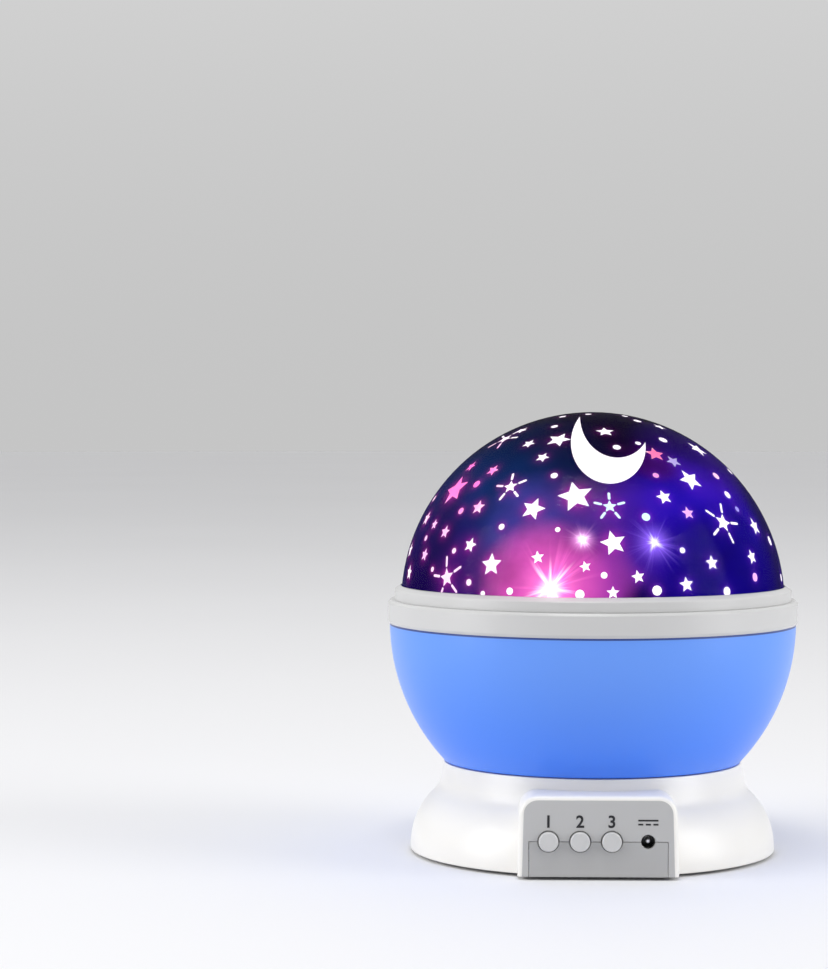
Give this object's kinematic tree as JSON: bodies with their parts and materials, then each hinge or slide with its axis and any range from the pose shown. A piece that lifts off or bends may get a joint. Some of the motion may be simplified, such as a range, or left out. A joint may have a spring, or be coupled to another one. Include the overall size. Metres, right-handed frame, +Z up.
{
  "type": "star night light projector",
  "caption": "Round table night light: ogee base with a button panel, a turning bowl, and a lift-off clear dome over a star film with moon and star windows.",
  "frame": {"origin": "on the spin axis, at the surface that the rubber feet stand on", "axes": "+Z up along the spin axis of bowl and dome; the control panel looks along -Y; +X to the right of someone who faces the panel"},
  "size_m": [0.1298, 0.1298, 0.1394],
  "materials": {
    "white_shell": "gloss",
    "cover_grey": "satin",
    "bowl_blue": "gloss",
    "clear_plastic": "clear gloss",
    "star_print": "printed film",
    "button_white": "satin",
    "black_plastic": "matte",
    "rubber_grey": "matte",
    "steel": "plain",
    "board_green": "solder mask",
    "nylon": "natural",
    "reflector_white": "satin",
    "cell_jacket": "printed jacket, bare of words",
    "lamp_white": "clear",
    "lamp_red": "tinted",
    "lamp_green": "tinted",
    "lamp_blue": "tinted",
    "lead_sleeve": "matte"
  },
  "bodies": {
    "base": {"base_shell": "white_shell", "bottom_cover": "cover_grey", "cover_screws": "steel", "battery_contacts": "steel", "control_board": "board_green", "board_screws": "steel", "controller_chip": "black_plastic", "dc_inlet": "black_plastic", "gear_motor": "steel", "motor_screws": "steel", "idler_axle": "steel", "lamp_column": "reflector_white", "column_screws": "steel", "thrust_washer": "nylon", "retaining_clip": "steel", "lamp_holder": "reflector_white", "lamp_board": "board_green", "lamp_cap": "clear_plastic", "lamp_lead": "lead_sleeve", "motor_lead": "lead_sleeve", "battery_lead": "lead_sleeve", "tact_switch_1": "black_plastic", "tact_switch_2": "black_plastic", "tact_switch_3": "black_plastic", "battery_cell_1": "cell_jacket", "rubber_foot_1": "rubber_grey", "battery_cell_2": "cell_jacket", "rubber_foot_2": "rubber_grey", "battery_cell_3": "cell_jacket", "rubber_foot_3": "rubber_grey", "battery_cell_4": "cell_jacket", "rubber_foot_4": "rubber_grey", "lamp_white": "lamp_white", "lamp_red": "lamp_red", "lamp_green": "lamp_green", "lamp_blue": "lamp_blue"},
    "bowl": {"bowl": "bowl_blue", "collar_ring": "white_shell", "turntable": "nylon", "turntable_screws": "steel", "reflector_plate": "reflector_white", "reflector_screws": "steel"},
    "idler": {"idler_gear": "nylon"},
    "pinion": {"drive_pinion": "nylon", "motor_shaft": "steel"},
    "dome": {"dome_ring": "white_shell", "clear_dome": "clear_plastic", "star_film": "star_print"},
    "door": {"battery_door": "cover_grey"},
    "button_1": {"button_cap_1": "button_white", "switch_plunger_1": "black_plastic"},
    "button_2": {"button_cap_2": "button_white", "switch_plunger_2": "black_plastic"},
    "button_3": {"button_cap_3": "button_white", "switch_plunger_3": "black_plastic"}
  },
  "joints": [
    {"name": "bowl_spin", "type": "hinge", "parent": "base", "child": "bowl", "pos_m": [0, 0, 0.03], "axis": [0, 0, 1], "continuous": true},
    {"name": "idler_spin", "type": "hinge", "parent": "base", "child": "idler", "pos_m": [0.02479, 0.01466, 0.023], "axis": [0, 0, 1], "continuous": true},
    {"name": "pinion_spin", "type": "hinge", "parent": "base", "child": "pinion", "pos_m": [0.033, 0, 0.022], "axis": [0, 0, 1], "continuous": true},
    {"name": "dome_lift", "type": "slide", "parent": "bowl", "child": "dome", "axis": [0, 0, 1], "range_m": [0, 0.06]},
    {"name": "battery_door_hinge", "type": "hinge", "parent": "base", "child": "door", "pos_m": [-0.008, 0.0349, 0.0022], "axis": [1, 0, 0], "range_deg": [0, 75]},
    {"name": "button_1_press", "type": "slide", "parent": "base", "child": "button_1", "axis": [0, 1, 0], "range_m": [0, 0.0005], "stiffness_N_per_m": 400},
    {"name": "button_2_press", "type": "slide", "parent": "base", "child": "button_2", "axis": [0, 1, 0], "range_m": [0, 0.0005], "stiffness_N_per_m": 400},
    {"name": "button_3_press", "type": "slide", "parent": "base", "child": "button_3", "axis": [0, 1, 0], "range_m": [0, 0.0005], "stiffness_N_per_m": 400}
  ],
  "couplings": [
    {"joint": "idler_spin", "follows": "bowl_spin", "ratio": -5},
    {"joint": "pinion_spin", "follows": "bowl_spin", "ratio": 12.5}
  ]
}
